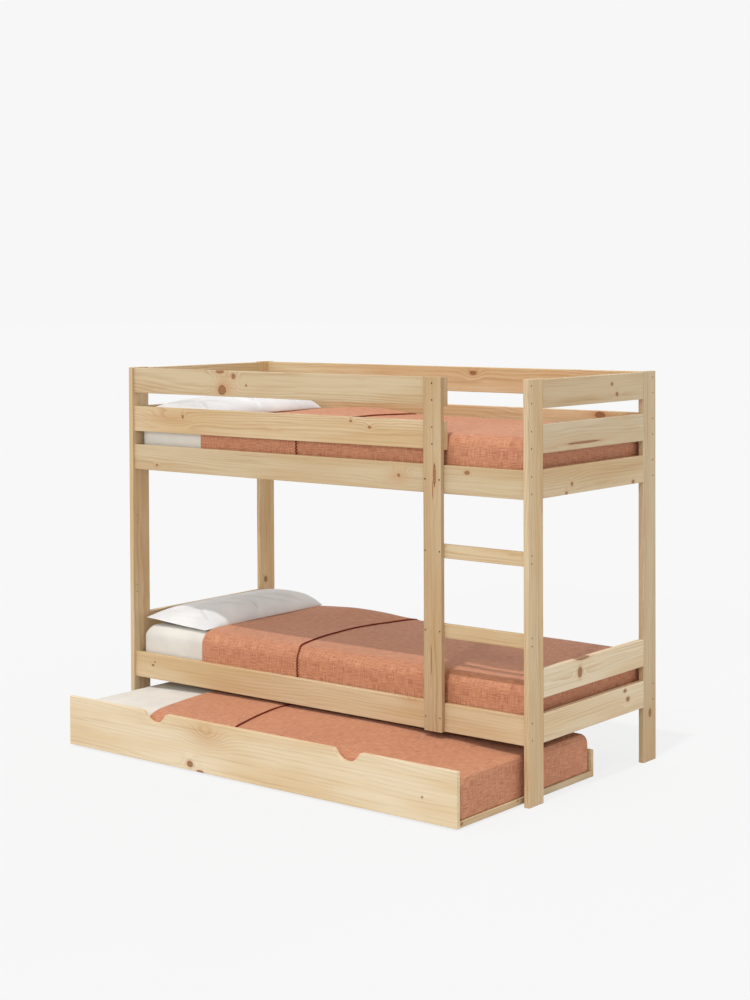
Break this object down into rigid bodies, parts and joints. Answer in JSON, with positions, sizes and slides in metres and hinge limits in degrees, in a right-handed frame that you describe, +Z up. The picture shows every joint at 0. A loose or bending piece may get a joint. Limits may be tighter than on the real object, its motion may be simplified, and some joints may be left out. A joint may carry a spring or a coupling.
{
  "type": "bunk bed with trundle",
  "caption": "Pine bunk bed with plank posts, slatted guard rails, a fixed ladder and a wheeled trundle bed that rolls out from under the lower bunk, made up with bedding.",
  "frame": {"origin": "on the floor, in the middle of the rectangle that the bed covers with its trundle pulled out as stored", "axes": "+X from the pillow end to the foot end, +Y from the front to the back, +Z up"},
  "size_m": [1.98, 1.24, 1.49],
  "materials": {
    "pine": "planed and clear-lacquered knotty pine, satin",
    "slat_pine": "rough-planed pine, matt",
    "beech": "fluted beech, matt",
    "screw_steel": "yellow-passivated steel",
    "fork_steel": "zinc-plated pressed steel",
    "nylon": "black nylon, matt",
    "sheet_cotton": "off-white cotton fitted sheet",
    "pillow_cotton": "white cotton percale",
    "blanket_cloth": "terracotta slub-woven cotton"
  },
  "bodies": {
    "bunk": {"back_rail_bed_lower": "pine", "back_rail_bed_upper": "pine", "back_rail_guard_middle": "pine", "back_rail_guard_top": "pine", "base_screws_lower": "screw_steel", "base_screws_upper": "screw_steel", "blanket_lower": "blanket_cloth", "blanket_upper": "blanket_cloth", "end_rail_dowels": "beech", "end_rail_left_lower_bed": "pine", "end_rail_left_lower_top": "pine", "end_rail_left_upper_bed": "pine", "end_rail_left_upper_middle": "pine", "end_rail_left_upper_top": "pine", "end_rail_right_lower_bed": "pine", "end_rail_right_lower_top": "pine", "end_rail_right_upper_bed": "pine", "end_rail_right_upper_middle": "pine", "end_rail_right_upper_top": "pine", "frame_screws": "screw_steel", "front_rail_bed_lower": "pine", "front_rail_bed_upper": "pine", "front_rail_guard_middle": "pine", "front_rail_guard_top": "pine", "ladder_rung_1": "pine", "ladder_rung_2": "pine", "ladder_stile": "pine", "mattress_lower": "sheet_cotton", "mattress_upper": "sheet_cotton", "pillow_lower": "pillow_cotton", "pillow_upper": "pillow_cotton", "post_back_left": "pine", "post_back_right": "pine", "post_front_left": "pine", "post_front_right": "pine", "slat_ledger_lower_back": "slat_pine", "slat_ledger_lower_front": "slat_pine", "slat_ledger_upper_back": "slat_pine", "slat_ledger_upper_front": "slat_pine", "slats_lower": "slat_pine", "slats_upper": "slat_pine", "stile_screws": "screw_steel"},
    "trundle": {"castor_axles": "fork_steel", "castor_forks": "fork_steel", "castor_screws": "screw_steel", "trundle_back_panel": "pine", "trundle_bearers": "slat_pine", "trundle_blanket": "blanket_cloth", "trundle_dowels": "beech", "trundle_end_rail_left": "pine", "trundle_end_rail_right": "pine", "trundle_front_panel": "pine", "trundle_mattress": "sheet_cotton", "trundle_slat_screws": "screw_steel", "trundle_slats": "slat_pine"},
    "wheel_back_left": {"castor_wheel_back_left": "nylon"},
    "wheel_back_right": {"castor_wheel_back_right": "nylon"},
    "wheel_front_left": {"castor_wheel_front_left": "nylon"},
    "wheel_front_right": {"castor_wheel_front_right": "nylon"}
  },
  "joints": [
    {"name": "trundle_slide", "type": "slide", "parent": "bunk", "child": "trundle", "axis": [0, -1, 0], "range_m": [-0.38, 0.48]},
    {"name": "wheel_back_left_roll", "type": "hinge", "parent": "trundle", "child": "wheel_back_left", "pos_m": [-0.917, 0.0891, 0.015], "axis": [1, 0, 0], "continuous": true},
    {"name": "wheel_back_right_roll", "type": "hinge", "parent": "trundle", "child": "wheel_back_right", "pos_m": [0.917, 0.0891, 0.015], "axis": [1, 0, 0], "continuous": true},
    {"name": "wheel_front_left_roll", "type": "hinge", "parent": "trundle", "child": "wheel_front_left", "pos_m": [-0.917, -0.4781, 0.015], "axis": [1, 0, 0], "continuous": true},
    {"name": "wheel_front_right_roll", "type": "hinge", "parent": "trundle", "child": "wheel_front_right", "pos_m": [0.917, -0.4781, 0.015], "axis": [1, 0, 0], "continuous": true}
  ],
  "couplings": [
    {"joint": "wheel_back_left_roll", "follows": "trundle_slide", "rad_per_m": 66.667},
    {"joint": "wheel_back_right_roll", "follows": "trundle_slide", "rad_per_m": 66.667},
    {"joint": "wheel_front_left_roll", "follows": "trundle_slide", "rad_per_m": 66.667},
    {"joint": "wheel_front_right_roll", "follows": "trundle_slide", "rad_per_m": 66.667}
  ]
}
